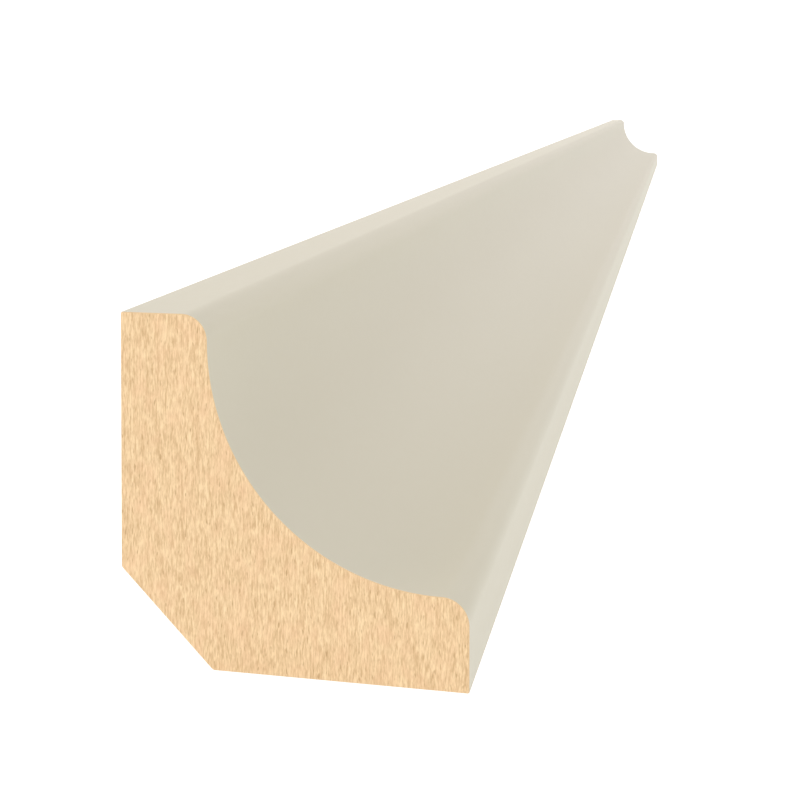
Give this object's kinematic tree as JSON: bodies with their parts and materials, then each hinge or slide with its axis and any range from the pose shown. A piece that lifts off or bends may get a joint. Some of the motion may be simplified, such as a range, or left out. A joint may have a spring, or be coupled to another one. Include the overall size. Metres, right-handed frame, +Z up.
{
  "type": "cove skirting moulding",
  "caption": "Straight cove moulding with two flat lips, rounded noses and a chamfered heel, cut square at both ends, that covers the joint between a floor and a wall.",
  "frame": {"origin": "under the middle of the moulding's bounding box, on the plane that its floor face rests on", "axes": "+X along the moulding, +Y towards the wall that it is fixed to, -Y towards the room, +Z up"},
  "size_m": [0.6, 0.022, 0.022],
  "materials": {
    "fibreboard": "matte",
    "cream_foil": "satin"
  },
  "bodies": {
    "root": {"fibreboard_core": "fibreboard", "cream_facing": "cream_foil"}
  },
  "joints": []
}
